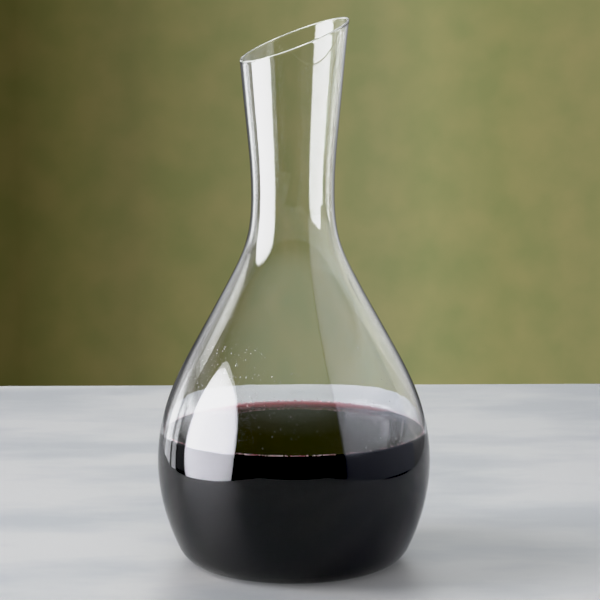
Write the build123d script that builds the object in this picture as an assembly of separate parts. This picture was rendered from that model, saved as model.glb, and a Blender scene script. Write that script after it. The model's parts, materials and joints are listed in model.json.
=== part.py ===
from build123d import *
import os

# A free-blown wine decanter and its fill of red wine, in millimetres.
# +Z is up and is the axis of the bowl; the foot stands on Z = 0.
# The mouth is cut on a slant: its low, pouring side is towards -X and its high side towards +X.
# A station or profile point is (radius, height).

# Foot: a flat standing ring around a shallow punt.
FOOT_RING_INNER = 34.0
FOOT_RING_OUTER = 44.3
PUNT_RISE = 1.8

# Heel: the round that carries the floor up into the belly, outside and inside.
HEEL_SWEEP = 65.0
HEEL_RADIUS = 15.8
INNER_HEEL_RADIUS = 12.9
INNER_FLOOR_RADIUS = 43.3
FLOOR_THICKNESS = 4.7

# Stations up the outside, from the widest place to just above the mouth.
BELLY = (68.7, 49.4)
UPPER_BELLY = (64.4, 80.3)
SHOULDER = (48.1, 115.4)
THROAT = (31.2, 146.3)
NECK_ROOT = (23.3, 164.8)
WAIST = (20.9, 183.3)
FLARE = (23.7, 228.7)
LIP = (28.4, 276.0)
LIP_SLOPE = 0.128

# Wall thickness at each station, square to the outside. It thins upwards, as blown glass does.
WALLS = {
    BELLY: 2.1,
    UPPER_BELLY: 1.7,
    SHOULDER: 1.45,
    THROAT: 1.35,
    NECK_ROOT: 1.3,
    WAIST: 1.25,
    FLARE: 1.2,
    LIP: 1.2,
}

# Mouth: the slanted cut crosses the axis at this height, and its edges are melted round.
MOUTH_HEIGHT = 264.1
MOUTH_SLANT = 20.8
RIM_ROUND = 0.5

# Wine: a flat surface that climbs in a small arc where it wets the glass.
WINE_LEVEL = 66.4
WINE_FLAT_RADIUS = 60.6
MENISCUS_RADIUS = 6.5
MENISCUS_SWEEP = 70.0

# Profiles that trim a solid run past it by this much.
OVERRUN = 10.0


def at(radius, height):
    """A point or a direction in the plane of the profile."""
    return Vector(radius, 0, height)


def rising_arc(start, radius, sweep):
    """An arc that leaves its start level and outwards, and turns upwards by the sweep."""
    centre = start + at(0, radius)
    middle = centre + (start - centre).rotate(Axis.Y, -sweep / 2)
    end = centre + (start - centre).rotate(Axis.Y, -sweep)
    return ThreePointArc(start, middle, end)


def wall_spline(heel, stations):
    """One smooth wall from the end of a heel, through the stations, to the lip."""
    return Spline([heel @ 1, *stations], tangents=[heel % 1, at(LIP_SLOPE, 1)])


def spin(*edges):
    """The solid that a closed profile makes as it turns about the axis of the bowl."""
    return revolve(make_face(Wire(edges)), Axis.Z, 360)


def outside_body():
    """The outer form of the glass, solid throughout, and the edge of its wall."""
    punt = Spline([at(0, PUNT_RISE), at(FOOT_RING_INNER, 0)], tangents=[at(1, 0), at(1, -0.12)])
    foot_ring = Line(punt @ 1, at(FOOT_RING_OUTER, 0))
    heel = rising_arc(at(FOOT_RING_OUTER, 0), HEEL_RADIUS, HEEL_SWEEP)
    wall = wall_spline(heel, [at(*station) for station in WALLS])
    top = Line(wall @ 1, at(0, LIP[1]))
    axis = Line(top @ 1, punt @ 0)
    return spin(punt, foot_ring, heel, wall, top, axis), wall


def cavity_body(outer_wall):
    """The space inside the glass: each station moved in by its wall thickness."""
    stations = []
    for station, thickness in WALLS.items():
        along = outer_wall.tangent_at(outer_wall.param_at_point(at(*station)))
        stations.append(at(*station) + at(-along.Z, along.X) * thickness)
    floor_edge = at(INNER_FLOOR_RADIUS, FLOOR_THICKNESS)
    floor_centre = at(0, FLOOR_THICKNESS + PUNT_RISE)
    floor = Spline([floor_centre, floor_edge], tangents=[at(1, 0), at(1, 0)])
    heel = rising_arc(floor_edge, INNER_HEEL_RADIUS, HEEL_SWEEP)
    wall = wall_spline(heel, stations)
    above = Line(wall @ 1, wall @ 1 + at(0, OVERRUN))
    top = Line(above @ 1, at(0, (above @ 1).Z))
    axis = Line(top @ 1, floor @ 0)
    return spin(floor, heel, wall, above, top, axis)


def glass_piece(outside, cavity):
    """The vessel, one piece of blown glass, sheared on a slant and melted round at the rim."""
    mouth = Plane.XY.offset(MOUTH_HEIGHT).rotated((0, -MOUTH_SLANT, 0))
    sheared = split(outside - cavity, bisect_by=mouth, keep=Keep.BOTTOM)
    rim = sheared.faces().filter_by(GeomType.PLANE).sort_by(Axis.Z)[-1]
    return fillet(rim.edges(), RIM_ROUND)


def wine_fill(cavity):
    """Everything in the cavity below the liquid surface, wetting the glass face to face."""
    meniscus = rising_arc(at(WINE_FLAT_RADIUS, WINE_LEVEL), MENISCUS_RADIUS, MENISCUS_SWEEP)
    surface = Line(at(0, WINE_LEVEL), meniscus @ 0)
    beyond = at(BELLY[0] + OVERRUN, (meniscus @ 1).Z)
    rest = Polyline(meniscus @ 1, beyond, at(beyond.X, 0), at(0, 0), surface @ 0)
    return cavity & spin(surface, meniscus, *rest.edges())


outside, outer_wall = outside_body()
cavity = cavity_body(outer_wall)
parts = {
    "glass_vessel": glass_piece(outside, cavity),
    "wine": wine_fill(cavity),
}

os.makedirs("parts", exist_ok=True)
for node, solid in parts.items():
    export_step(solid, f"parts/{node}.step")
    print(node, round(solid.volume / 1000, 1), "ml")
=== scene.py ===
"""A blown-glass wine decanter with a slanted mouth, half full of red wine.

The scene is in metres, +Z up, with the foot on Z = 0. Profiles are worked out in millimetres.
"""
import math
import json
import random

import bpy
import numpy as np
from mathutils import Matrix, Vector

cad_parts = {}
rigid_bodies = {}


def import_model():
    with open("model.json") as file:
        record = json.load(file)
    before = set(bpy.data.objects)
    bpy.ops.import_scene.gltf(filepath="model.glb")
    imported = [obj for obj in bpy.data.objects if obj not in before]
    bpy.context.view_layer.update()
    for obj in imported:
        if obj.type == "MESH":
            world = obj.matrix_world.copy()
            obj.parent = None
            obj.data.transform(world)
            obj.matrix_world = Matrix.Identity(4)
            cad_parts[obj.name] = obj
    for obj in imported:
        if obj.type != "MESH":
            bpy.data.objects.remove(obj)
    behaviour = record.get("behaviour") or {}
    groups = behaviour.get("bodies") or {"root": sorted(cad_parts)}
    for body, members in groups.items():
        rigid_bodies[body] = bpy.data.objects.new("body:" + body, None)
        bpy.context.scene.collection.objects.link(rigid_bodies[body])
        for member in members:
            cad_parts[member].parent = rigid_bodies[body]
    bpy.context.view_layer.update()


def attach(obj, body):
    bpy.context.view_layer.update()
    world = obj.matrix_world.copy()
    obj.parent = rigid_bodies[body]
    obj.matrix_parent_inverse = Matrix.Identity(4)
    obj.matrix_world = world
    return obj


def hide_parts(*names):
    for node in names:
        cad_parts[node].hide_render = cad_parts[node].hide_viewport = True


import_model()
MM = 0.001

# ---------------------------------------------------------------- the form, as in the CAD
# Millimetres. A station is (radius, height, wall thickness).
FOOT_RING_INNER = 34.0
FOOT_RING_OUTER = 44.3
PUNT_RISE = 1.8
HEEL_SWEEP = math.radians(65.0)
HEEL_RADIUS = 15.8
INNER_HEEL_RADIUS = 12.9
INNER_FLOOR_RADIUS = 43.3
FLOOR_THICKNESS = 4.7
STATIONS = [
    (68.7, 49.4, 2.1),
    (64.4, 80.3, 1.7),
    (48.1, 115.4, 1.45),
    (31.2, 146.3, 1.35),
    (23.3, 164.8, 1.3),
    (20.9, 183.3, 1.25),
    (23.7, 228.7, 1.2),
    (28.4, 276.0, 1.2),
]
LIP_SLOPE = 0.128
MOUTH_HEIGHT = 264.1
MOUTH_SLOPE = math.tan(math.radians(20.8))
WINE_LEVEL = 66.4
WINE_FLAT_RADIUS = 60.6
MENISCUS_RADIUS = 6.5
MENISCUS_SWEEP = math.radians(70.0)

# How far the wine's body, its bubbles and its drops stay off the glass
WINE_INSET = 0.03
# How far the wine's open surface lies above its body
SKIN_LIFT = 0.02

GLASS_IOR = 1.5
WINE_IOR = 1.345

# Mesh density: points around the axis and along each stretch of a profile
AROUND = 192
ALONG_WALL = 150
ALONG_ARC = 14
ALONG_FLOOR = 12
ALONG_RIM = 9
ALONG_MENISCUS = 200
# The share of a wall's points that the slanted mouth leaves where they are
FIXED_SHARE = 0.55

# How far to the left of the decanter's front the camera stands
VIEW_TURN = math.radians(13.4)


def seen(across, away, up):
    """The place that the camera sees this far to the right, away and up from the foot."""
    turn = Matrix.Rotation(-VIEW_TURN, 3, "Z")
    return turn @ Vector((across, away, up))


# ---------------------------------------------------------------- profile curves
def arc_points(radius, height, arc_radius, sweep, count):
    """Points on an arc that leaves (radius, height) level and outwards, and turns upwards."""
    angle = np.linspace(0.0, sweep, count)
    across = radius + arc_radius * np.sin(angle)
    up = height + arc_radius * (1.0 - np.cos(angle))
    return np.stack([across, up], axis=1)


def smooth_curve(points, first, last, count):
    """A cubic spline through points with given end directions, as evenly spaced parameters."""
    points = np.array(points, float)
    steps = np.hypot(*np.diff(points, axis=0).T)
    n = len(points)
    system = np.zeros((n, n))
    target = np.zeros((n, 2))
    system[0, 0] = system[-1, -1] = 1.0
    target[0] = np.array(first) / np.hypot(*first)
    target[-1] = np.array(last) / np.hypot(*last)
    for i in range(1, n - 1):
        before, after = steps[i - 1], steps[i]
        system[i, i - 1 : i + 2] = after, 2.0 * (before + after), before
        rise_before = (points[i] - points[i - 1]) / before
        rise_after = (points[i + 1] - points[i]) / after
        target[i] = 3.0 * (after * rise_before + before * rise_after)
    slopes = np.linalg.solve(system, target)
    knots = np.concatenate([[0.0], np.cumsum(steps)])
    where = np.linspace(0.0, knots[-1], count)
    span = np.clip(np.searchsorted(knots, where, side="right") - 1, 0, n - 2)
    step = steps[span][:, None]
    t = (where - knots[span])[:, None] / step
    start, end = points[span], points[span + 1]
    leave, arrive = slopes[span] * step, slopes[span + 1] * step
    return (
        (2 * t**3 - 3 * t**2 + 1) * start
        + (t**3 - 2 * t**2 + t) * leave
        + (3 * t**2 - 2 * t**3) * end
        + (t**3 - t**2) * arrive
    )


def side_curve(heel, stations):
    """The wall from the end of a heel, through the stations, to the lip."""
    leave = (math.cos(HEEL_SWEEP), math.sin(HEEL_SWEEP))
    return smooth_curve([heel[-1], *stations], leave, (LIP_SLOPE, 1.0), ALONG_WALL)


def outer_profile():
    heel = arc_points(FOOT_RING_OUTER, 0.0, HEEL_RADIUS, HEEL_SWEEP, ALONG_ARC)
    return heel, side_curve(heel, [(r, z) for r, z, _ in STATIONS])


def inner_profile(outer_wall):
    """Each station moved in by its wall thickness, square to the outside."""
    tangents = np.gradient(outer_wall, axis=0)
    moved = []
    for radius, height, wall in STATIONS:
        nearest = np.argmin(np.hypot(outer_wall[:, 0] - radius, outer_wall[:, 1] - height))
        along = tangents[nearest] / np.hypot(*tangents[nearest])
        moved.append((radius - along[1] * wall, height + along[0] * wall))
    heel = arc_points(INNER_FLOOR_RADIUS, FLOOR_THICKNESS, INNER_HEEL_RADIUS, HEEL_SWEEP, ALONG_ARC)
    return heel, side_curve(heel, moved)


def floor_curve(centre_height, edge_radius, edge_height, count):
    """A shallow dome from the axis out to the edge, level at both ends."""
    t = np.linspace(0.0, 1.0, count)
    height = centre_height + (edge_height - centre_height) * t * t * (3.0 - 2.0 * t)
    return np.stack([edge_radius * t, height], axis=1)


OUTER_HEEL, OUTER_WALL = outer_profile()
INNER_HEEL, INNER_WALL = inner_profile(OUTER_WALL)


def inner_radius(height):
    """The cavity's radius at a height, in millimetres."""
    curve = np.vstack([INNER_HEEL, INNER_WALL])
    return float(np.interp(height, curve[:, 1], curve[:, 0]))


def inner_slope(height):
    """How fast the cavity widens with height."""
    return inner_radius(height + 0.5) - inner_radius(height - 0.5)


# ---------------------------------------------------------------- mesh helpers
def new_object(name, vertices, faces, materials, face_slots=None):
    """A smooth object from points in millimetres. Face slots say which material each face has."""
    mesh = bpy.data.meshes.new(name)
    mesh.from_pydata([Vector(v) * MM for v in vertices], [], faces)
    for material in materials:
        mesh.materials.append(material)
    mesh.polygons.foreach_set("use_smooth", [True] * len(mesh.polygons))
    if face_slots is not None:
        mesh.polygons.foreach_set("material_index", face_slots)
    mesh.update()
    made = bpy.data.objects.new(name, mesh)
    bpy.context.scene.collection.objects.link(made)
    return made


def lathe(profiles, slot_of_ring):
    """A closed form from one profile per angle. Both ends of a profile are on the axis."""
    angles = np.linspace(0.0, 2.0 * math.pi, len(profiles), endpoint=False)
    rings = len(profiles[0])
    vertices = [(0.0, 0.0, profiles[0][0][1])]
    for ring in range(1, rings - 1):
        for angle, profile in zip(angles, profiles):
            radius, height = profile[ring]
            vertices.append((radius * math.cos(angle), radius * math.sin(angle), height))
    vertices.append((0.0, 0.0, profiles[0][-1][1]))
    around = len(profiles)
    faces, slots = [], []
    last = len(vertices) - 1
    for side in range(around):
        following = (side + 1) % around
        faces.append((0, 1 + following, 1 + side))
        slots.append(slot_of_ring(0))
        for ring in range(1, rings - 2):
            low = 1 + (ring - 1) * around
            high = low + around
            faces.append((low + side, low + following, high + following, high + side))
            slots.append(slot_of_ring(ring))
        low = 1 + (rings - 3) * around
        faces.append((low + side, low + following, last))
        slots.append(slot_of_ring(rings - 2))
    return vertices, faces, slots


def open_lathe(profile):
    """A sheet round the axis. The profile starts off the axis and ends on it."""
    angles = np.linspace(0.0, 2.0 * math.pi, AROUND, endpoint=False)
    vertices = []
    for radius, height in profile[:-1]:
        for angle in angles:
            vertices.append((radius * math.cos(angle), radius * math.sin(angle), height))
    vertices.append((0.0, 0.0, profile[-1][1]))
    faces = []
    last = len(vertices) - 1
    for side in range(AROUND):
        following = (side + 1) % AROUND
        for ring in range(len(profile) - 2):
            low = ring * AROUND
            high = low + AROUND
            faces.append((low + side, low + following, high + following, high + side))
        low = (len(profile) - 2) * AROUND
        faces.append((low + side, low + following, last))
    return vertices, faces


# ---------------------------------------------------------------- materials
def new_material(name):
    """A new material, and what it takes to fill it."""
    material = bpy.data.materials.new(name)
    material.use_nodes = True
    nodes = material.node_tree.nodes
    nodes.clear()
    output = nodes.new("ShaderNodeOutputMaterial")
    return material, nodes, material.node_tree.links, output


def color_ramp(nodes, links, value, stops):
    """The colour that a value gives, from (position, colour) stops in rising order."""
    ramp = nodes.new("ShaderNodeValToRGB")
    elements = ramp.color_ramp.elements
    for element, (position, color) in zip(elements, (stops[0], stops[-1])):
        element.position = position
        element.color = (*color, 1.0)
    for position, color in stops[1:-1]:
        elements.new(position).color = (*color, 1.0)
    links.new(value, ramp.inputs["Fac"])
    return ramp.outputs["Color"]


def tint_by_noise(nodes, links, shader, scale, stops):
    """Lets a shader's base colour wander between tints."""
    place = nodes.new("ShaderNodeTexCoord")
    noise = nodes.new("ShaderNodeTexNoise")
    noise.inputs["Scale"].default_value = scale
    links.new(place.outputs["Object"], noise.inputs["Vector"])
    tint = color_ramp(nodes, links, noise.outputs["Fac"], stops)
    links.new(tint, shader.inputs["Base Color"])


def clear_principled(nodes, color, ior):
    """A smooth clear shader that bends light."""
    shader = nodes.new("ShaderNodeBsdfPrincipled")
    shader.inputs["Base Color"].default_value = (*color, 1.0)
    shader.inputs["Roughness"].default_value = 0.0
    shader.inputs["Transmission Weight"].default_value = 1.0
    shader.inputs["IOR"].default_value = ior
    return shader


def lamps_pass(nodes, links, shader, tint):
    """Lets lamp light through the glass, a little dimmed, so that its shadow is a glass shadow."""
    through = nodes.new("ShaderNodeBsdfTransparent")
    through.inputs["Color"].default_value = (*tint, 1.0)
    path = nodes.new("ShaderNodeLightPath")
    mix = nodes.new("ShaderNodeMixShader")
    links.new(path.outputs["Is Shadow Ray"], mix.inputs["Fac"])
    links.new(shader.outputs["BSDF"], mix.inputs[1])
    links.new(through.outputs["BSDF"], mix.inputs[2])
    return mix


def blown_glass():
    """Clear soda-lime glass with the faint long ripples that blowing and turning leave."""
    material, nodes, links, output = new_material("clear_blown_glass")
    shader = clear_principled(nodes, (0.985, 0.99, 0.995), GLASS_IOR)
    place = nodes.new("ShaderNodeTexCoord")
    stretch = nodes.new("ShaderNodeMapping")
    stretch.inputs["Scale"].default_value = (60.0, 60.0, 9.0)
    ripples = nodes.new("ShaderNodeTexNoise")
    ripples.inputs["Scale"].default_value = 1.0
    ripples.inputs["Detail"].default_value = 1.5
    bump = nodes.new("ShaderNodeBump")
    bump.inputs["Strength"].default_value = 0.06
    bump.inputs["Distance"].default_value = 0.001
    links.new(place.outputs["Object"], stretch.inputs["Vector"])
    links.new(stretch.outputs["Vector"], ripples.inputs["Vector"])
    links.new(ripples.outputs["Fac"], bump.inputs["Height"])
    links.new(bump.outputs["Normal"], shader.inputs["Normal"])
    mix = lamps_pass(nodes, links, shader, (0.93, 0.95, 0.94))
    links.new(mix.outputs["Shader"], output.inputs["Surface"])
    return material


def painted_highlight_rim():
    """The melted edge of the mouth, painted paler and a little clouded: a painted highlight, so that it
    shows light all round.
    """
    material, nodes, links, output = new_material("rim_painted_highlight")
    shader = clear_principled(nodes, (1.0, 1.0, 1.0), GLASS_IOR)
    shader.inputs["Roughness"].default_value = 0.12
    shader.inputs["Transmission Weight"].default_value = 0.45
    # Painted highlight: pale tints that make the rim look lit from every side.
    stops = [(0.35, (0.50, 0.52, 0.48)), (0.62, (0.92, 0.93, 0.90))]
    tint_by_noise(nodes, links, shader, 160.0, stops)
    links.new(shader.outputs["BSDF"], output.inputs["Surface"])
    return material


def wetted_glass():
    """The inner wall where wine wets it. The two bend light nearly alike, so it hardly shows."""
    material, nodes, links, output = new_material("wetted_glass")
    shader = clear_principled(nodes, (1.0, 1.0, 1.0), GLASS_IOR / WINE_IOR)
    links.new(shader.outputs["BSDF"], output.inputs["Surface"])
    return material


def wine_body():
    """Wine that swallows light with depth. Only the glass and the wine's skin bend light."""
    material, nodes, links, output = new_material("red_wine")
    shader = clear_principled(nodes, (1.0, 1.0, 1.0), 1.0)
    volume = nodes.new("ShaderNodeVolumeAbsorption")
    volume.inputs["Color"].default_value = (0.72, 0.05, 0.12, 1.0)
    volume.inputs["Density"].default_value = 1400.0
    links.new(shader.outputs["BSDF"], output.inputs["Surface"])
    links.new(volume.outputs["Volume"], output.inputs["Volume"])
    return material


def wine_skin():
    """The open surface of the wine, which mirrors and bends light."""
    material, nodes, links, output = new_material("red_wine_skin")
    shader = clear_principled(nodes, (1.0, 1.0, 1.0), WINE_IOR)
    links.new(shader.outputs["BSDF"], output.inputs["Surface"])
    return material


# ---------------------------------------------------------------- glass vessel
def mouth_cut(wall, cosine):
    """Where a wall curve meets the slanted mouth, as a fractional index along the curve."""
    over = wall[:, 1] - MOUTH_HEIGHT - MOUTH_SLOPE * wall[:, 0] * cosine
    above = int(np.argmax(over > 0.0))
    share = over[above - 1] / (over[above - 1] - over[above])
    return above - 1 + share


def trimmed(wall, end, drop):
    """The wall curve up to a fractional index, less a drop, with as many points as before."""
    index = np.arange(len(wall), dtype=float)
    spacing = np.hypot(*(wall[-1] - wall[-2]))
    stop = end - drop / spacing
    fixed = int(len(wall) * FIXED_SHARE)
    upper = np.linspace(fixed, stop, len(wall) - fixed)
    where = np.concatenate([index[:fixed], upper])
    return np.stack([np.interp(where, index, wall[:, k]) for k in range(2)], axis=1)


def rim_round(outer_end, inner_end, upwards, count):
    """The melted edge: a half round over the wall's thickness."""
    middle = (outer_end + inner_end) / 2.0
    out = (outer_end - inner_end) / 2.0
    angle = np.linspace(0.0, math.pi, count + 2)[1:-1, None]
    return middle + np.cos(angle) * out + np.sin(angle) * upwards * np.hypot(*out)


def vessel_profile(angle):
    cosine = math.cos(angle)
    half_wall = STATIONS[-1][2] / 2.0
    outer = trimmed(OUTER_WALL, mouth_cut(OUTER_WALL, cosine), half_wall)
    inner = trimmed(INNER_WALL, mouth_cut(INNER_WALL, cosine), half_wall)
    upwards = outer[-1] - outer[-2]
    upwards = upwards / np.hypot(*upwards)
    underside = floor_curve(PUNT_RISE, FOOT_RING_INNER, 0.0, ALONG_FLOOR)
    inside_floor = floor_curve(
        FLOOR_THICKNESS + PUNT_RISE, INNER_FLOOR_RADIUS, FLOOR_THICKNESS, ALONG_FLOOR
    )
    rim = rim_round(outer[-1], inner[-1], upwards, ALONG_RIM)
    outside = [underside, OUTER_HEEL, outer[1:], rim]
    inside = [inner[::-1], INNER_HEEL[::-1][1:], inside_floor[::-1][1:]]
    return np.vstack(outside + inside)


def make_vessel():
    """The glass as one closed skin, with its wetted part and its rim in slots of their own."""
    angles = np.linspace(0.0, 2.0 * math.pi, AROUND, endpoint=False)
    profiles = [vessel_profile(angle) for angle in angles]
    first_inner = ALONG_FLOOR + len(OUTER_HEEL) + len(OUTER_WALL) - 1 + ALONG_RIM
    first_of_rim = first_inner - ALONG_RIM - 1
    contact, _ = wine_contact()

    def slot_of_ring(ring):
        """0 for bare glass, 1 where wine wets it and 2 on the rim."""
        if first_of_rim <= ring < first_inner:
            return 2
        return 1 if ring >= first_inner and profiles[0][ring][1] < contact else 0

    vertices, faces, slots = lathe(profiles, slot_of_ring)
    materials = [blown_glass(), wetted_glass(), painted_highlight_rim()]
    piece = new_object("glass_vessel_blown", vertices, faces, materials, slots)
    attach(piece, "root")
    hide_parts("glass_vessel")


# ---------------------------------------------------------------- wine
def wine_contact():
    """The height where the meniscus meets the glass, and the meniscus's points from the flat out."""
    arc = arc_points(WINE_FLAT_RADIUS, WINE_LEVEL, MENISCUS_RADIUS, MENISCUS_SWEEP, ALONG_MENISCUS)
    wall = np.array([inner_radius(z) for z in arc[:, 1]])
    meet = int(np.argmax(arc[:, 0] > wall))
    return arc[meet][1], arc[: meet + 1]


def make_wine():
    """The wine's body and, just above it, its open surface."""
    edge_height, meniscus = wine_contact()
    wall = np.vstack([INNER_HEEL, INNER_WALL[1:]])
    clearance = 0.3
    wet = wall[wall[:, 1] < edge_height - clearance]
    bottom = floor_curve(
        FLOOR_THICKNESS + PUNT_RISE, INNER_FLOOR_RADIUS, FLOOR_THICKNESS, ALONG_FLOOR
    )
    below = np.vstack([bottom[:-1], wet, [(inner_radius(edge_height), edge_height)]])
    below = below - np.array([WINE_INSET, 0.0]) * (below[:, :1] > 1.0)
    on_floor = below[:, 0] < INNER_FLOOR_RADIUS
    below[:, 1] = np.where(on_floor, below[:, 1] + WINE_INSET, below[:, 1])
    # Every eighth point of the meniscus, from the glass inwards
    rise = meniscus[::-1][8::8]
    flat_radii = np.linspace(WINE_FLAT_RADIUS, 0.0, ALONG_FLOOR)
    flat = np.stack([flat_radii, np.full(ALONG_FLOOR, WINE_LEVEL)], axis=1)
    top = np.vstack([rise, flat[1:]])

    vertices, faces, slots = lathe([np.vstack([below, top])] * AROUND, lambda ring: 0)
    body = new_object("wine_fill", vertices, faces, [wine_body()], slots)
    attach(body, "root")
    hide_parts("wine")

    skin_profile = np.vstack([below[-1:], top]) + np.array([0.0, SKIN_LIFT])
    vertices, faces = open_lathe(skin_profile)
    skin = new_object("wine_surface", vertices, faces, [wine_skin()])
    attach(skin, "root")


# ---------------------------------------------------------------- bubbles and drops
def wall_place(azimuth, height):
    """A point on the inner wall, the way into the cavity, and two directions along the wall.

    Azimuth is in degrees from the camera's side, positive to the right. Lengths are in millimetres.
    """
    angle = math.radians(azimuth)
    outwards = seen(math.sin(angle), -math.cos(angle), 0.0)
    point = outwards * inner_radius(height) + Vector((0.0, 0.0, height))
    inwards = (Vector((0.0, 0.0, inner_slope(height))) - outwards).normalized()
    sideways = inwards.cross(Vector((0.0, 0.0, 1.0))).normalized()
    return point, inwards, sideways, sideways.cross(inwards)


def add_cap(vertices, faces, centre, axis, side, rise, radius, height, start, rings=4, around=10):
    """A rounded cap round an axis, closed below.

    Start is the angle in degrees where it begins: 0 makes a dome and -90 a ball.
    """
    first = len(vertices)
    vertices.append(centre + axis * height * math.sin(math.radians(start)))
    for ring in range(rings):
        tilt = math.radians(start + (90.0 - start) * ring / rings)
        across = radius * max(math.cos(tilt), 0.3 if ring == 0 else 0.0)
        for i in range(around):
            turn = 2.0 * math.pi * i / around
            spoke = side * math.cos(turn) + rise * math.sin(turn)
            vertices.append(centre + spoke * across + axis * height * math.sin(tilt))
    vertices.append(centre + axis * height)
    last = len(vertices) - 1
    for i in range(around):
        j = (i + 1) % around
        faces.append((first, first + 1 + j, first + 1 + i))
        for ring in range(rings - 1):
            low = first + 1 + ring * around
            faces.append((low + i, low + j, low + around + j, low + around + i))
        low = first + 1 + (rings - 1) * around
        faces.append((low + i, low + j, last))


def froth():
    """Tiny bubbles, pale with the wine's pink between them."""
    material, nodes, links, output = new_material("wine_froth")
    shader = nodes.new("ShaderNodeBsdfPrincipled")
    shader.inputs["Roughness"].default_value = 0.18
    stops = [(0.35, (0.42, 0.10, 0.14)), (0.60, (0.86, 0.66, 0.70))]
    tint_by_noise(nodes, links, shader, 220.0, stops)
    links.new(shader.outputs["BSDF"], output.inputs["Surface"])
    return material


def drops_with_painted_glints():
    """Splashes too thin to show the wine's colour, partly clear and partly pale: the pale share is a
    painted glint.
    """
    material, nodes, links, output = new_material("splashes_with_painted_glints")
    shader = clear_principled(nodes, (1.0, 1.0, 1.0), WINE_IOR)
    # Painted glints: only part of the light goes through, and the rest comes back pale, so each drop
    # shows as a light speck.
    shader.inputs["Transmission Weight"].default_value = 0.65
    stops = [(0.3, (0.80, 0.74, 0.74)), (0.6, (0.98, 0.97, 0.96))]
    tint_by_noise(nodes, links, shader, 300.0, stops)
    links.new(shader.outputs["BSDF"], output.inputs["Surface"])
    return material


def make_bubbles():
    """A broken ring of bubbles where the wine meets the glass, thickest towards the camera."""
    rng = random.Random(11)
    height, _ = wine_contact()
    degree_length = math.radians(1.0) * inner_radius(height)
    vertices, faces = [], []
    # From one azimuth to another: the mean spacing, and the smallest and largest radius.
    for azimuth_from, azimuth_to, spacing, smallest, largest in (
        (-66.0, -46.0, 0.9, 0.16, 0.34),
        (-27.0, 18.0, 0.5, 0.14, 0.34),
        (18.0, 88.0, 2.0, 0.14, 0.30),
        (-46.0, -27.0, 1.6, 0.12, 0.26),
        (140.0, 215.0, 0.9, 0.14, 0.36),
        (88.0, 140.0, 3.0, 0.12, 0.28),
        (215.0, 294.0, 3.5, 0.12, 0.26),
    ):
        count = int((azimuth_to - azimuth_from) * degree_length / spacing)
        for _ in range(count):
            radius = rng.uniform(smallest, largest)
            up = height + rng.uniform(-0.1, 0.25)
            point, inwards, side, rise = wall_place(rng.uniform(azimuth_from, azimuth_to), up)
            centre = point + inwards * (radius + WINE_INSET)
            add_cap(vertices, faces, centre, inwards, side, rise, radius, radius, -90.0, 5, 8)
    piece = new_object("wine_bubbles", vertices, faces, [froth()])
    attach(piece, "root")


def make_drops():
    """Drops that pouring left on the inside of the glass."""
    rng = random.Random(5)
    vertices, faces = [], []
    # From one azimuth to another: between which heights, and how many.
    for azimuth_from, azimuth_to, low, high, count in (
        (-88.0, -28.0, 86.0, 116.0, 360),
        (-62.0, -16.0, 90.0, 118.0, 130),
        (-60.0, 75.0, 70.0, 76.0, 12),
        (30.0, 90.0, 69.5, 74.0, 90),
        (110.0, 250.0, 70.0, 84.0, 150),
        (100.0, 260.0, 72.0, 104.0, 50),
    ):
        for _ in range(count):
            up = low + (high - low) * rng.random() ** 1.6
            radius = 0.13 + 0.24 * rng.random() ** 4
            point, inwards, side, rise = wall_place(rng.uniform(azimuth_from, azimuth_to), up)
            centre = point + inwards * WINE_INSET
            drawn_out = rise * rng.uniform(1.0, 1.35)
            add_cap(vertices, faces, centre, inwards, side, drawn_out, radius, radius * 0.6, 0.0)
    piece = new_object("wine_drops", vertices, faces, [drops_with_painted_glints()])
    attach(piece, "root")


# ---------------------------------------------------------------- camera
# Metres and radians, and millimetres for the lens and the sensor
CAMERA_DISTANCE = 1.373
CAMERA_HEIGHT = 0.3646
CAMERA_PITCH = math.radians(9.536)
CAMERA_YAW = math.radians(-0.14)
CAMERA_ROLL = math.radians(-0.2)
CAMERA_LENS = 166.8
SENSOR_WIDTH = 36.0


def make_camera():
    """A long lens that looks a little down at the decanter."""
    data = bpy.data.cameras.new("camera")
    data.lens = CAMERA_LENS
    data.sensor_width = SENSOR_WIDTH
    data.clip_start = 0.01
    camera = bpy.data.objects.new("camera", data)
    bpy.context.scene.collection.objects.link(camera)
    turn = (
        Matrix.Rotation(-VIEW_TURN, 4, "Z")
        @ Matrix.Rotation(CAMERA_YAW, 4, "Z")
        @ Matrix.Rotation(math.pi / 2 - CAMERA_PITCH, 4, "X")
        @ Matrix.Rotation(CAMERA_ROLL, 4, "Z")
    )
    camera.matrix_world = Matrix.Translation(seen(0.0, -CAMERA_DISTANCE, CAMERA_HEIGHT)) @ turn
    bpy.context.scene.camera = camera


# ---------------------------------------------------------------- table and backdrop
# Metres: across, away and up from the decanter's foot, as the camera sees them
TABLE_BACK = 0.455
TABLE_HALF_WIDTH = 0.31
TABLE_FRONT = -0.60
TABLE_DROP = 0.0002
FLOOR_REACH = 4.0
WALL_AWAY = 2.3
WALL_REACH = 1.2


def stage_sheet(name, corners, material):
    """A flat four-cornered sheet, its corners given as seen by the camera."""
    mesh = bpy.data.meshes.new(name)
    mesh.from_pydata([seen(*corner) for corner in corners], [], [(0, 1, 2, 3)])
    mesh.materials.append(material)
    made = bpy.data.objects.new(name, mesh)
    bpy.context.scene.collection.objects.link(made)
    return made


def place_along_table(nodes, links):
    """A point's place in the scene, turned so that X runs along the table's front edge."""
    place = nodes.new("ShaderNodeNewGeometry")
    turn = nodes.new("ShaderNodeVectorRotate")
    turn.rotation_type = "Z_AXIS"
    turn.inputs["Angle"].default_value = VIEW_TURN
    links.new(place.outputs["Position"], turn.inputs["Vector"])
    return turn.outputs["Vector"]


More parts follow.
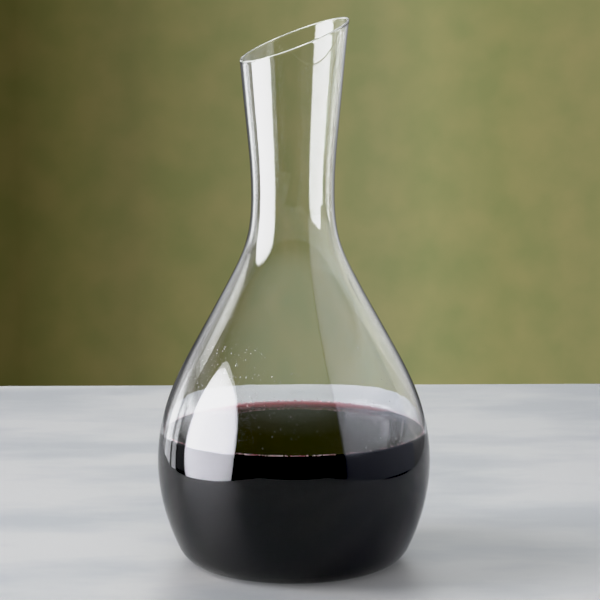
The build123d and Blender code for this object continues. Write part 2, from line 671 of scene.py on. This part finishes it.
def table_material():
    """Pale honed stone with faint long clouds."""
    material, nodes, links, output = new_material("pale_table")
    shader = nodes.new("ShaderNodeBsdfPrincipled")
    shader.inputs["Roughness"].default_value = 0.5
    shader.inputs["Specular IOR Level"].default_value = 1.0
    stretch = nodes.new("ShaderNodeMapping")
    stretch.inputs["Scale"].default_value = (8.0, 17.0, 1.0)
    clouds = nodes.new("ShaderNodeTexNoise")
    clouds.inputs["Scale"].default_value = 1.0
    clouds.inputs["Detail"].default_value = 4.0
    links.new(place_along_table(nodes, links), stretch.inputs["Vector"])
    links.new(stretch.outputs["Vector"], clouds.inputs["Vector"])
    tints = [(0.38, (0.158, 0.163, 0.172)), (0.56, (0.212, 0.209, 0.211))]
    stone = color_ramp(nodes, links, clouds.outputs["Fac"], tints)
    links.new(stone, shader.inputs["Base Color"])
    links.new(shader.outputs["BSDF"], output.inputs["Surface"])
    return material


def wall_material():
    """A mottled olive backdrop that gives its own light, darker to the left, and darker high up by
    painted shade.
    """
    material, nodes, links, output = new_material("olive_backdrop")
    place = place_along_table(nodes, links)
    apart = nodes.new("ShaderNodeSeparateXYZ")
    links.new(place, apart.inputs["Vector"])
    spread = nodes.new("ShaderNodeMapRange")
    spread.inputs["From Min"].default_value = -0.40
    spread.inputs["From Max"].default_value = 0.40
    links.new(apart.outputs["X"], spread.inputs["Value"])
    olives = [
        (0.042, (0.070, 0.064, 0.024)),
        (0.134, (0.105, 0.098, 0.037)),
        (0.233, (0.134, 0.125, 0.052)),
        (0.299, (0.165, 0.160, 0.066)),
        (0.460, (0.225, 0.222, 0.100)),
        (0.646, (0.268, 0.268, 0.128)),
        (0.728, (0.284, 0.288, 0.131)),
        (0.850, (0.262, 0.260, 0.111)),
        (0.976, (0.254, 0.246, 0.108)),
    ]
    olive = color_ramp(nodes, links, spread.outputs["Result"], olives)
    blotches = nodes.new("ShaderNodeTexNoise")
    blotches.inputs["Scale"].default_value = 17.0
    blotches.inputs["Detail"].default_value = 3.0
    blotches.inputs["Roughness"].default_value = 0.45
    links.new(place, blotches.inputs["Vector"])
    tints = [(0.32, (0.90, 0.95, 0.92)), (0.68, (1.09, 1.04, 1.05))]
    tint = color_ramp(nodes, links, blotches.outputs["Fac"], tints)
    mottle = nodes.new("ShaderNodeMix")
    mottle.data_type = "RGBA"
    mottle.blend_type = "MULTIPLY"
    mottle.inputs["Factor"].default_value = 1.0
    links.new(olive, mottle.inputs["A"])
    links.new(tint, mottle.inputs["B"])
    # Painted shade: the backdrop's glow dims high up.
    painted_shade_up = nodes.new("ShaderNodeMapRange")
    painted_shade_up.interpolation_type = "SMOOTHSTEP"
    painted_shade_up.inputs["From Min"].default_value = 0.20
    painted_shade_up.inputs["From Max"].default_value = 0.52
    painted_shade_up.inputs["To Min"].default_value = 1.0
    painted_shade_up.inputs["To Max"].default_value = 0.34
    links.new(apart.outputs["Z"], painted_shade_up.inputs["Value"])
    glow = nodes.new("ShaderNodeEmission")
    links.new(mottle.outputs["Result"], glow.inputs["Color"])
    links.new(painted_shade_up.outputs["Result"], glow.inputs["Strength"])
    links.new(glow.outputs["Emission"], output.inputs["Surface"])
    return material


def level_sheet(name, left, right, front, back, material):
    """A stretch of table or floor, just under the decanter's foot."""
    low = -TABLE_DROP
    corners = [(left, front, low), (right, front, low), (right, back, low), (left, back, low)]
    return stage_sheet(name, corners, material)


def make_stage():
    """A table, a floor of the same stone level with it, and a backdrop.

    The glass doesn't mirror the floor. Only the floor to the right and to the back left is seen through
    it, because the rest would cut off highlights in the neck.
    """
    pale = table_material()
    side, far = TABLE_HALF_WIDTH, FLOOR_REACH
    level_sheet("table", -side, side, TABLE_FRONT, TABLE_BACK, pale)
    for name, left, right, front, back, through_glass in (
        ("floor_left", -far, -side, 0.0, TABLE_BACK, True),
        ("floor_right", side, far, -far, TABLE_BACK, True),
        ("floor_left_front", -far, -side, -far, 0.0, False),
        ("floor_front", -side, side, -far, TABLE_FRONT, False),
    ):
        sheet = level_sheet(name, left, right, front, back, pale)
        sheet.visible_glossy = False
        sheet.visible_transmission = through_glass
    corners = [
        (-far, WALL_AWAY, -WALL_REACH),
        (far, WALL_AWAY, -WALL_REACH),
        (far, WALL_AWAY, WALL_REACH),
        (-far, WALL_AWAY, WALL_REACH),
    ]
    wall = stage_sheet("backdrop", corners, wall_material())
    wall.visible_diffuse = False


# ---------------------------------------------------------------- lights
# Heights and distances are in metres and azimuths in degrees.
def level_ramp(nodes, links, value, stops):
    """How bright a light is along one of its two directions, from (position, level) stops."""
    start, reach = stops[0][0], stops[-1][0] - stops[0][0]
    shades = [((position - start) / reach, (level, level, level)) for position, level in stops]
    return color_ramp(nodes, links, value, shades)


def glow_material(name, color, strength, across, up):
    """Light of one colour that varies across and up its sheet.

    It shows in the glass as a highlight, and never as a bright sheet seen straight through it.
    """
    material, nodes, links, output = new_material(name)
    place = nodes.new("ShaderNodeUVMap")
    apart = nodes.new("ShaderNodeSeparateXYZ")
    links.new(place.outputs["UV"], apart.inputs["Vector"])
    level = nodes.new("ShaderNodeMath")
    level.operation = "MULTIPLY"
    links.new(level_ramp(nodes, links, apart.outputs["X"], across), level.inputs[0])
    links.new(level_ramp(nodes, links, apart.outputs["Y"], up), level.inputs[1])
    full = nodes.new("ShaderNodeMath")
    full.operation = "MULTIPLY"
    full.inputs[1].default_value = strength
    links.new(level.outputs["Value"], full.inputs[0])
    glow = nodes.new("ShaderNodeEmission")
    glow.inputs["Color"].default_value = (*color, 1.0)
    links.new(full.outputs["Value"], glow.inputs["Strength"])

    clear = nodes.new("ShaderNodeBsdfTransparent")
    path = nodes.new("ShaderNodeLightPath")
    mirrored = nodes.new("ShaderNodeMath")
    mirrored.operation = "GREATER_THAN"
    mirrored.inputs[1].default_value = 0.5
    links.new(path.outputs["Glossy Depth"], mirrored.inputs[0])
    mix = nodes.new("ShaderNodeMixShader")
    links.new(mirrored.outputs["Value"], mix.inputs["Fac"])
    links.new(clear.outputs["BSDF"], mix.inputs[1])
    links.new(glow.outputs["Emission"], mix.inputs[2])
    links.new(mix.outputs["Shader"], output.inputs["Surface"])
    return material


def lit_sheet(name, points, faces, places, material):
    """A light that shows only where something mirrors it. Places are its UVs, one per point."""
    mesh = bpy.data.meshes.new(name)
    mesh.from_pydata([seen(*point) for point in points], [], faces)
    mesh.materials.append(material)
    layer = mesh.uv_layers.new(name="places")
    for loop in mesh.loops:
        layer.data[loop.index].uv = places[loop.vertex_index]
    light = bpy.data.objects.new(name, mesh)
    bpy.context.scene.collection.objects.link(light)
    light.visible_camera = False
    light.visible_diffuse = False


def round_screen(name, across, up, strength, color, low=None, high=None, distance=1.1):
    """A diffuser bent round the decanter.

    Across is (azimuth, level) stops, with the azimuth in degrees from the camera's side, to the right.
    Up is (height, level) stops. Low and high give the edges at each azimuth in place of up's ends.
    """
    columns = 61
    first, last = across[0][0], across[-1][0]
    bottom, top = up[0][0], up[-1][0]
    points, places = [], []
    for i in range(columns):
        azimuth = first + (last - first) * i / (columns - 1)
        angle = math.radians(azimuth)
        edges = (low(azimuth) if low else bottom, high(azimuth) if high else top)
        for height in edges:
            points.append((distance * math.sin(angle), -distance * math.cos(angle), height))
            places.append((i / (columns - 1), (height - bottom) / (top - bottom)))
    faces = [(2 * i, 2 * i + 2, 2 * i + 3, 2 * i + 1) for i in range(columns - 1)]
    lit_sheet(name, points, faces, places, glow_material(name, color, strength, across, up))


def rounded(value, squareness):
    """A cosine or sine bent so that the round that the two make comes near a square."""
    return math.copysign(abs(value) ** (2.0 / squareness), value)


def softbox_left():
    """A big soft box with rounded corners, close by on the left. It's brightest in the middle."""
    azimuth, distance, squareness, count, rings = math.radians(-70.0), 0.75, 2.6, 72, 8
    centre_along, centre_up, half_width, half_height = -0.096, 0.150, 0.374, 0.402
    outwards = Vector((math.sin(azimuth), -math.cos(azimuth), 0.0))
    sideways = Vector((math.cos(azimuth), math.sin(azimuth), 0.0))
    points = [outwards * distance + sideways * centre_along + Vector((0.0, 0.0, centre_up))]
    places = [(0.0, 0.5)]
    for ring in range(1, rings + 1):
        share = ring / rings
        for i in range(count):
            angle = 2.0 * math.pi * i / count
            along = centre_along + share * half_width * rounded(math.cos(angle), squareness)
            height = centre_up + share * half_height * rounded(math.sin(angle), squareness)
            points.append(outwards * distance + sideways * along + Vector((0.0, 0.0, height)))
            places.append((share, 0.5))
    faces = [(0, 1 + i, 1 + (i + 1) % count) for i in range(count)]
    for ring in range(rings - 1):
        inner, outer = 1 + ring * count, 1 + (ring + 1) * count
        for i in range(count):
            j = (i + 1) % count
            faces.append((inner + i, outer + i, outer + j, inner + j))
    from_middle = [(0.0, 1.0), (0.55, 1.0), (0.8, 0.9), (0.93, 0.72), (1.0, 0.5)]
    even = [(0.0, 1.0), (1.0, 1.0)]
    material = glow_material("softbox_left", (0.955, 0.95, 1.03), 12.5, from_middle, even)
    lit_sheet("softbox_left", points, faces, places, material)


def make_lamp(name, place, size, power, color=(1.0, 1.0, 1.0)):
    """A soft light for the table and its shadow. The glass mirrors the diffusers and not this."""
    data = bpy.data.lights.new(name, "AREA")
    data.size = size
    data.energy = power
    data.color = color
    lamp = bpy.data.objects.new(name, data)
    bpy.context.scene.collection.objects.link(lamp)
    lamp.location = seen(*place)
    to_foot = Vector((0.0, 0.0, 0.0)) - lamp.location
    lamp.rotation_euler = to_foot.to_track_quat("-Z", "Y").to_euler()
    lamp.visible_camera = False
    lamp.visible_glossy = False
    lamp.visible_transmission = False
    return lamp


def height_at(azimuth, corners):
    """The height at an azimuth of an edge with (azimuth, height) corners."""
    return float(np.interp(azimuth, *zip(*corners)))


def window_top(azimuth):
    """The long window's upper edge, which drops as the window runs away to the back."""
    corners = [(41.0, 0.95), (60.0, 0.93), (85.0, 0.78), (107.0, 0.64)]
    corners += [(120.0, 0.53), (130.0, 0.42), (160.0, 0.25)]
    return height_at(azimuth, corners)


def upper_panel_low(azimuth):
    """The upper back panel's lower edge, which rises towards its right-hand corner."""
    corners = [(-137.0, 0.30), (-124.0, 0.375), (-116.0, 0.414)]
    corners += [(-114.0, 0.52), (-111.0, 0.59), (-106.0, 0.64)]
    return height_at(azimuth, corners)


def make_windows():
    """The bright windows to the right, in three stretches."""
    cool, neutral = (0.85, 0.88, 1.04), (0.97, 0.98, 1.02)

    across = [(41.0, 0.0), (44.0, 0.72), (52.0, 0.85), (92.0, 1.0), (108.0, 0.85), (118.0, 0.76)]
    up = [(-0.15, 0.2), (0.12, 0.26), (0.18, 0.6), (0.40, 0.75), (0.6, 0.95), (0.95, 1.0)]
    round_screen("window_right", across, up, 2.3, cool, high=window_top)

    across = [(118.0, 1.0), (128.0, 0.95), (138.0, 0.82), (146.0, 0.66)]
    across += [(152.0, 0.45), (158.0, 0.25), (168.0, 0.2)]
    up = [(-0.15, 0.15), (-0.05, 0.2), (0.05, 0.4), (0.12, 0.58)]
    up += [(0.2, 0.65), (0.35, 0.85), (0.45, 1.0), (0.6, 1.0)]
    round_screen("window_right_back", across, up, 1.78, neutral, high=window_top)

    across = [(41.0, 0.0), (44.0, 0.8), (52.0, 1.0), (85.0, 1.0), (97.0, 0.83)]
    across += [(104.0, 0.66), (121.0, 0.55), (150.0, 0.5), (160.0, 0.0)]
    up = [(0.0, 1.0), (2.2, 1.0)]
    round_screen("window_right_above", across, up, 1.8, cool, low=window_top)


def make_panels():
    """The paler panels and the wall behind them, to the back left."""
    neutral = (0.97, 0.98, 1.02)

    across = [(-144.5, 0.3), (-137.5, 0.4), (-136.5, 1.0), (-125.5, 1.0), (-124.5, 0.1)]
    across += [(-122.5, 0.1), (-121.5, 1.0), (-116.0, 1.0), (-114.5, 0.05), (-113.0, 0.0)]
    up = [(-0.16, 1.0), (0.2, 0.9), (0.26, 0.5), (0.275, 0.2)]
    round_screen("panel_back_left", across, up, 3.0, neutral)

    across = [(-138.0, 0.5), (-131.0, 0.6), (-130.0, 0.3), (-128.5, 0.3), (-127.5, 1.0)]
    across += [(-117.0, 1.0), (-111.0, 0.85), (-107.0, 0.25), (-100.0, 0.0)]
    up = [(0.28, 0.4), (0.40, 0.6), (0.50, 1.0), (0.68, 1.0)]
    round_screen("panel_back_left_upper", across, up, 3.0, neutral, low=upper_panel_low)

    across = [(-116.0, 0.9), (-104.0, 1.0), (-97.0, 1.0)]
    up = [(0.08, 0.0), (0.12, 0.35), (0.2, 0.7), (0.24, 1.0), (0.31, 1.0), (0.36, 0.3), (0.42, 0.0)]
    round_screen("panel_by_softbox", across, up, 2.7, neutral)

    across = [(-168.0, 0.3), (-150.0, 0.35), (-140.0, 0.8), (-125.0, 0.9)]
    across += [(-118.0, 1.0), (-100.0, 1.0), (-96.0, 0.0)]
    up = [(-0.16, 0.15), (0.1, 0.25), (0.2, 0.9), (0.30, 1.0), (0.40, 0.6), (0.7, 0.3)]
    round_screen("wall_back_left", across, up, 1.4, neutral, distance=1.25)


def make_lamps():
    """Soft lamps for the decanter's shadow, and one that lights the table and the floor alone."""
    make_lamp("key_left", (-1.25, -0.1, 0.95), 0.8, 30.0)
    make_lamp("fill_above", (0.5, 0.1, 1.8), 1.6, 9.0, (0.96, 0.98, 1.0))
    make_lamp("fill_front", (0.1, -1.3, 0.5), 1.2, 17.0)
    shine = make_lamp("shine_on_table", (0.3, 2.0, 1.1), 2.4, 35.0, (0.96, 0.98, 1.0))
    shine.visible_glossy = True
    shine.data.use_shadow = False
    receivers = bpy.data.collections.new("lit_by_shine")
    for thing in bpy.context.scene.objects:
        if thing.name.startswith(("table", "floor")):
            receivers.objects.link(thing)
    shine.light_linking.receiver_collection = receivers


def make_world():
    """What surrounds the stage, in three ways.

    Where something mirrors it, it's dark from below to some way above the horizon, and bright overhead.
    The light that it casts on rough surfaces is an even grey. Seen directly or straight through the
    glass it's a paler grey.
    """
    world = bpy.data.worlds.new("studio")
    bpy.context.scene.world = world
    world.use_nodes = True
    nodes, links = world.node_tree.nodes, world.node_tree.links
    nodes.clear()
    place = nodes.new("ShaderNodeTexCoord")
    apart = nodes.new("ShaderNodeSeparateXYZ")
    links.new(place.outputs["Generated"], apart.inputs["Vector"])
    shades = [
        (0.32, (0.012, 0.012, 0.012)),
        (0.44, (0.13, 0.14, 0.13)),
        (0.54, (0.42, 0.48, 0.46)),
        (0.68, (0.78, 0.92, 0.88)),
    ]
    overhead = nodes.new("ShaderNodeBackground")
    links.new(color_ramp(nodes, links, apart.outputs["Z"], shades), overhead.inputs["Color"])
    even = nodes.new("ShaderNodeBackground")
    even.inputs["Color"].default_value = (0.26, 0.265, 0.285, 1.0)
    plain = nodes.new("ShaderNodeBackground")
    plain.inputs["Color"].default_value = (0.34, 0.345, 0.35, 1.0)

    path = nodes.new("ShaderNodeLightPath")
    bounced = nodes.new("ShaderNodeMixShader")
    links.new(path.outputs["Is Diffuse Ray"], bounced.inputs["Fac"])
    links.new(overhead.outputs["Background"], bounced.inputs[1])
    links.new(even.outputs["Background"], bounced.inputs[2])
    bounces = nodes.new("ShaderNodeMath")
    bounces.operation = "ADD"
    links.new(path.outputs["Glossy Depth"], bounces.inputs[0])
    links.new(path.outputs["Diffuse Depth"], bounces.inputs[1])
    has_bounced = nodes.new("ShaderNodeMath")
    has_bounced.operation = "GREATER_THAN"
    has_bounced.inputs[1].default_value = 0.5
    links.new(bounces.outputs["Value"], has_bounced.inputs[0])
    either = nodes.new("ShaderNodeMixShader")
    links.new(has_bounced.outputs["Value"], either.inputs["Fac"])
    links.new(plain.outputs["Background"], either.inputs[1])
    links.new(bounced.outputs["Shader"], either.inputs[2])
    output = nodes.new("ShaderNodeOutputWorld")
    links.new(either.outputs["Shader"], output.inputs["Surface"])


def set_tone():
    """Deep blacks and softly rolled-off highlights."""
    view = bpy.context.scene.view_settings
    view.view_transform = "Standard"
    view.use_curve_mapping = True
    tone = view.curve_mapping
    tone.black_level = (0.010, 0.010, 0.010)
    tone.white_level = (1.3, 1.3, 1.3)
    curve = tone.curves[3]
    curve.points[0].location = (0.0, 0.0)
    curve.points[1].location = (1.0, 0.85)
    for place in ((0.185, 0.241), (0.379, 0.490), (0.534, 0.665), (0.689, 0.775), (0.845, 0.828)):
        curve.points.new(*place)
    tone.update()


make_vessel()
make_wine()
make_bubbles()
make_drops()
make_stage()
softbox_left()
make_windows()
make_panels()
make_lamps()
make_world()
make_camera()
set_tone()
scene = bpy.context.scene
scene.cycles.use_denoising = True
scene.cycles.glossy_bounces = 8
scene.cycles.transmission_bounces = 16
scene.cycles.max_bounces = 20
